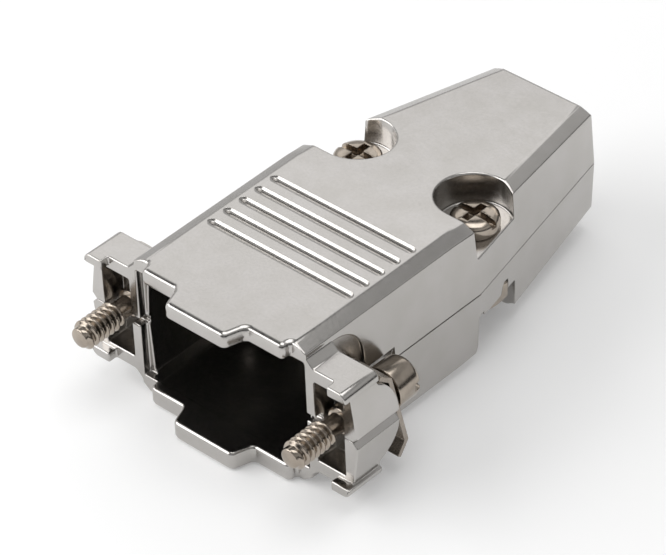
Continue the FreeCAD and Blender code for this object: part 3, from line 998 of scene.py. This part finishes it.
    def in_grooves(self, spot: Vector) -> bool:
        """Says whether a point lies in the grip grooves.

        Args:
            spot: The point, in metres.

        Returns:
            Whether it does.
        """
        x, y, z = spot / MM
        last = self.groove_first_y + (self.groove_count - 1) * self.groove_pitch
        return (z > self.roof_z - self.roof_skin
                and self.groove_first_y - self.groove_margin < y < last + self.groove_margin
                and abs(x) < self.groove_length / 2 + self.slack)

    def weigh_edges(self, obj: bpy.types.Object) -> None:
        """Opens the seam a little and marks each sharp edge with its share of the rounding.

        Args:
            obj: One half.
        """
        shape = bmesh.new()
        shape.from_mesh(obj.data)
        lift = self.parting_gap / 2 * MM * (1 if obj.name.startswith("top") else -1)
        for vert in shape.verts:
            if abs(vert.co.z) < self.slack * MM:
                vert.co.z += lift
        layer = shape.edges.layers.float.new("bevel_weight_edge")
        limit = math.radians(self.edge_degrees)
        sharp = {
            edge: self.width_share(edge) for edge in shape.edges
            if edge.is_manifold and edge.calc_face_angle(0) > limit
            and not all(self.in_grooves(v.co) for v in edge.verts)
        }
        for edge in sharp:
            near = {other for v in edge.verts for other in v.link_edges if other in sharp}
            edge[layer] = min(sharp[other] for other in near)
        shape.to_mesh(obj.data)
        shape.free()

    def cast(self, name: str) -> bpy.types.Object:
        """Rounds the edges of one half on a copy of its mesh.

        Args:
            name: Node of the half.

        Returns:
            The rounded half.
        """
        obj = self.merged(name)
        self.weigh_edges(obj)
        bevel = obj.modifiers.new("edges", "BEVEL")
        bevel.width = self.edge_width * MM
        bevel.segments = self.edge_steps
        bevel.limit_method = "WEIGHT"
        bevel.use_clamp_overlap = False
        bevel.miter_outer = "MITER_ARC"
        settle(obj)
        smooth(obj, self.smooth_degrees)
        weigh = obj.modifiers.new("normals", "WEIGHTED_NORMAL")
        weigh.keep_sharp = True
        weigh.weight = 100
        settle(obj)
        return obj

    def build(self) -> List[bpy.types.Object]:
        """Casts and plates both halves.

        Returns:
            The two halves.
        """
        shells = []
        for name in self.nodes:
            shell = self.cast(name)
            self.finishes.dress(shell, Plating.CAST_SHELL)
            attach(shell, "hood")
            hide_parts(name)
            shells.append(shell)
        return shells


@dataclass
class StripParts:
    """Sprung clips and stamped saddles, which keep their own meshes."""

    finishes: Finishes
    nodes: Tuple[str, ...] = (
        "retaining_clip_left", "retaining_clip_right", "clamp_saddle_upper", "clamp_saddle_lower",
    )

    def build(self) -> List[bpy.types.Object]:
        """Plates the strip-metal pieces.

        Returns:
            The nodes.
        """
        pieces = [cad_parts[name] for name in self.nodes]
        for piece in pieces:
            self.finishes.dress(piece, Plating.SPRING_STRIP)
        return pieces


@dataclass(frozen=True)
class Nut:
    """Sizes of a hexagon nut and the node it stands for.

    Attributes:
        node: Node without its side.
        across_flats: Width across the flats.
        thickness: Height.
        bore_r: Radius of the bore.
        place: X, Y and Z of the middle of its upper face on the right.
    """

    node: str
    across_flats: float
    thickness: float
    bore_r: float
    place: Point3

    @property
    def corner_r(self) -> float:
        """Gives the radius to its corners."""
        return self.across_flats / math.sqrt(3)


@dataclass
class HexNuts:
    """The nuts of the housing screws and of the cable clamp, chamfered on both faces."""

    finishes: Finishes
    nuts: Tuple[Nut, ...] = (
        Nut("housing_nut", 5.0, 2.0, 1.25, (6.95, 25.6, -2.0)),
        Nut("clamp_nut", 3.2, 1.3, 0.8, (4.55, 34.6, -1.2)),
    )
    chamfer_degrees: float = 30.0
    face_share: float = 0.96
    spare: float = 0.01
    edge: float = 0.06
    segments: int = 48
    bore_segments: int = 40

    def outline(self, nut: Nut) -> List[Point2]:
        """Gives the turned outline that chamfers the corners.

        Args:
            nut: The nut.

        Returns:
            Radius and height from the lower to the upper face.
        """
        corner = nut.corner_r + self.spare
        face = nut.across_flats / 2 * self.face_share
        drop = (corner - face) * math.tan(math.radians(self.chamfer_degrees))
        bottom = -nut.thickness
        return [(face, bottom), (corner, bottom + drop), (corner, -drop), (face, 0.0)]

    def build(self, nut: Nut, side: Side) -> bpy.types.Object:
        """Builds one nut.

        Args:
            nut: Which nut.
            side: Which side.

        Returns:
            The finished piece.
        """
        x, y, z = nut.place
        place = Matrix.Translation((side.value * x, y, z))
        upright = place @ Matrix.Rotation(math.radians(90), 4, "X")
        prism = bmesh.new()
        bmesh.ops.create_cone(
            prism, cap_ends=True, segments=6, radius1=nut.corner_r, radius2=nut.corner_r,
            depth=nut.thickness + PAST,
        )
        middle = Matrix.Translation((0, 0, -nut.thickness / 2))
        obj = to_object(nut.node + "_" + side.word + "_chamfered", prism, place @ middle)
        # Half a step of turn keeps the corners of the prism off the corners of the turned shape.
        half_step = Matrix.Rotation(math.pi / self.segments, 4, "Y")
        turned = lathe(self.outline(nut), self.segments)
        carve(obj, [to_object("turned", turned, upright @ half_step)], "INTERSECT")
        bore = lathe([(nut.bore_r, -PAST), (nut.bore_r, PAST)], self.bore_segments)
        carve(obj, [to_object("bore", bore, upright)])
        break_edges(obj, self.edge)
        self.finishes.dress(obj, Plating.TURNED_SCREW)
        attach(obj, "hood")
        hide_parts(nut.node + "_" + side.word)
        return obj


@dataclass(frozen=True)
class Softbox:
    """A soft lamp that looks at the hood.

    Attributes:
        name: Name of the lamp.
        towards: Direction from the hood to the lamp.
        distance: Distance in metres.
        size: Width and height in metres.
        level: Brightness of its face, where one is white.
    """

    name: str
    towards: Point3
    distance: float
    size: Point2
    level: float

    def build(self, target: Vector) -> bpy.types.Object:
        """Builds the lamp.

        Args:
            target: Point it looks at.

        Returns:
            The lamp.
        """
        lamp = bpy.data.lights.new(self.name, "AREA")
        lamp.shape = "RECTANGLE"
        lamp.size, lamp.size_y = self.size
        lamp.energy = self.level * math.pi * self.size[0] * self.size[1]
        obj = bpy.data.objects.new(self.name, lamp)
        away = Vector(self.towards).normalized()
        obj.location = target + away * self.distance
        obj.rotation_euler = away.to_track_quat("Z", "Y").to_euler()
        bpy.context.scene.collection.objects.link(obj)
        return obj


@dataclass
class Studio:
    """Floor, sky, lamps and camera. Lengths of the camera and of the target are metres."""

    target: Vector = field(default_factory=lambda: Vector((0.0, 0.020, 0.0)))
    floor_z: float = -7.9
    floor_gap: float = 0.02
    floor_half: float = 3000.0
    paper: str = "#E6E6E6"
    floor_glow: float = 0.20
    boxes: Tuple[Softbox, ...] = (
        Softbox("front_left_softbox", (-0.60, -0.62, 0.50), 0.40, (0.40, 0.34), 3.0),
        Softbox("rear_left_softbox", (-0.55, 0.58, 0.66), 0.50, (0.55, 0.22), 0.72),
        Softbox("overhead_softbox", (0.05, 0.05, 1.0), 0.42, (0.28, 0.28), 2.0),
    )
    # Greys of the room from the horizon to the zenith: behind on the left, on the right, ahead.
    flag_side: Tuple[Tuple[float, str], ...] = (
        (0.0, "#CACACA"), (0.66, "#CACACA"), (0.74, "#484848"), (0.88, "#484848"),
        (0.94, "#D8D8D8"),
    )
    open_side: Tuple[Tuple[float, str], ...] = (
        (0.0, "#3A3A3A"), (0.22, "#3A3A3A"), (0.36, "#C0C0C0"), (0.66, "#CACACA"),
        (0.76, "#A4A4A4"), (0.86, "#A4A4A4"), (0.94, "#D8D8D8"),
    )
    front_side: Tuple[Tuple[float, str], ...] = (
        (0.0, "#262626"), (0.20, "#262626"), (0.34, "#B4B4B4"), (0.66, "#CACACA"),
        (0.74, "#484848"), (0.88, "#484848"), (0.94, "#D8D8D8"),
    )
    # X from the flag side to the open side, and Y from those two to the front side.
    across: Point2 = (-0.35, 0.05)
    ahead: Point2 = (-0.25, -0.5)
    azimuth: float = 43.79
    elevation: float = 38.59
    roll: float = -2.65
    distance: float = 0.3773
    aside: float = 0.0038
    below: float = 0.0017
    sensor_mm: float = 36.0
    lens_mm: float = 228.55
    clip_near: float = 0.01
    clip_far: float = 20.0

    def floor(self) -> bpy.types.Object:
        """Lays a pale floor that keeps the hood's shadow.

        Returns:
            The floor.
        """
        shape = bmesh.new()
        bmesh.ops.create_grid(shape, x_segments=2, y_segments=2, size=self.floor_half)
        place = Matrix.Translation((0, 0, self.floor_z - self.floor_gap))
        obj = to_object("pale_floor", shape, place)
        material = bpy.data.materials.new("matt_white_paper")
        material.use_nodes = True
        tree = material.node_tree
        tree.nodes.clear()
        matt = add_node(tree, "ShaderNodeBsdfDiffuse", {"Color": linear(self.paper)})
        rays = add_node(tree, "ShaderNodeLightPath").outputs
        seen = rays["Is Camera Ray"]
        for kind in ("Is Glossy Ray", "Is Transmission Ray"):
            both = add_node(tree, "ShaderNodeMath", {0: seen, 1: rays[kind]}, operation="MAXIMUM")
            seen = both.outputs[0]
        level = add_node(tree, "ShaderNodeMath", {
            0: seen, 1: self.floor_glow,
        }, operation="MULTIPLY")
        glow = add_node(tree, "ShaderNodeEmission", {"Strength": level.outputs[0]})
        paper = add_node(tree, "ShaderNodeAddShader", {0: matt.outputs[0], 1: glow.outputs[0]})
        add_node(tree, "ShaderNodeOutputMaterial", {"Surface": paper.outputs[0]})
        obj.data.materials.append(material)
        return obj

    def sky(self) -> bpy.types.World:
        """Builds a pale studio with a grey flag between its left wall and its ceiling.

        Returns:
            The world.
        """
        world = bpy.data.worlds.new("studio")
        bpy.context.scene.world = world
        world.use_nodes = True
        tree = world.node_tree
        tree.nodes.clear()
        place = add_node(tree, "ShaderNodeTexCoord")
        parts = add_node(tree, "ShaderNodeSeparateXYZ", {0: place.outputs["Generated"]}).outputs
        sides = []
        for stops in (self.flag_side, self.open_side, self.front_side):
            ramp = add_node(tree, "ShaderNodeValToRGB", {"Fac": parts["Z"]})
            stair = ramp.color_ramp.elements
            stair[0].position, stair[0].color = stops[0][0], linear(stops[0][1])
            stair[1].position, stair[1].color = stops[-1][0], linear(stops[-1][1])
            for position, colour in stops[1:-1]:
                stair.new(position).color = linear(colour)
            sides.append(ramp.outputs["Color"])
        walls = sides[0]
        turns = ((parts["X"], self.across, sides[1]), (parts["Y"], self.ahead, sides[2]))
        for axis, (start, end), other in turns:
            turn = add_node(tree, "ShaderNodeMapRange", {
                "Value": axis, "From Min": start, "From Max": end,
            })
            mixed = add_node(tree, "ShaderNodeMix", {
                0: turn.outputs["Result"], 6: walls, 7: other,
            }, data_type="RGBA")
            walls = mixed.outputs[2]
        studio = add_node(tree, "ShaderNodeBackground", {"Color": walls})
        add_node(tree, "ShaderNodeOutputWorld", {"Surface": studio.outputs[0]})
        return world

    def camera(self) -> bpy.types.Object:
        """Sets up the camera at the photograph's view.

        Returns:
            The camera.
        """
        azimuth, elevation, roll = (
            math.radians(angle) for angle in (self.azimuth, self.elevation, self.roll)
        )
        back = Vector((
            math.sin(azimuth) * math.cos(elevation),
            -math.cos(azimuth) * math.cos(elevation),
            math.sin(elevation),
        ))
        level = (-back).cross(Vector((0, 0, 1))).normalized()
        upright = level.cross(-back)
        right = level * math.cos(roll) + upright * math.sin(roll)
        up = upright * math.cos(roll) - level * math.sin(roll)
        data = bpy.data.cameras.new("camera")
        data.sensor_width = self.sensor_mm
        data.lens = self.lens_mm
        data.clip_start = self.clip_near
        data.clip_end = self.clip_far
        obj = bpy.data.objects.new("camera", data)
        spot = self.target + back * self.distance - right * self.aside - up * self.below
        turn = Matrix((right, up, back)).transposed().to_4x4()
        obj.matrix_world = Matrix.Translation(spot) @ turn
        bpy.context.scene.collection.objects.link(obj)
        bpy.context.scene.camera = obj
        return obj

    def build(self) -> None:
        """Builds the whole studio."""
        self.floor()
        self.sky()
        for box in self.boxes:
            box.build(self.target)
        self.camera()
        bpy.context.scene.view_settings.view_transform = "Standard"


def main() -> None:
    """Builds every sub-assembly in order and reports its pieces."""
    logging.basicConfig(level=logging.INFO, format="%(name)s: %(message)s")
    finishes = Finishes()
    jackscrews = Jackscrews(finishes, ThreadTree())
    screws = Screws(finishes)
    nuts = HexNuts(finishes)
    pieces = Shells(finishes, GrooveTree()).build() + StripParts(finishes).build()
    for side in Side:
        pieces.append(jackscrews.build(side))
        pieces += [screws.build(screw, side) for screw in screws.screws]
        pieces += [nuts.build(nut, side) for nut in nuts.nuts]
    for piece in pieces:
        log.info("%s finished with %d faces", piece.name, len(piece.data.polygons))
    Studio().build()


if __name__ == "__main__":
    main()
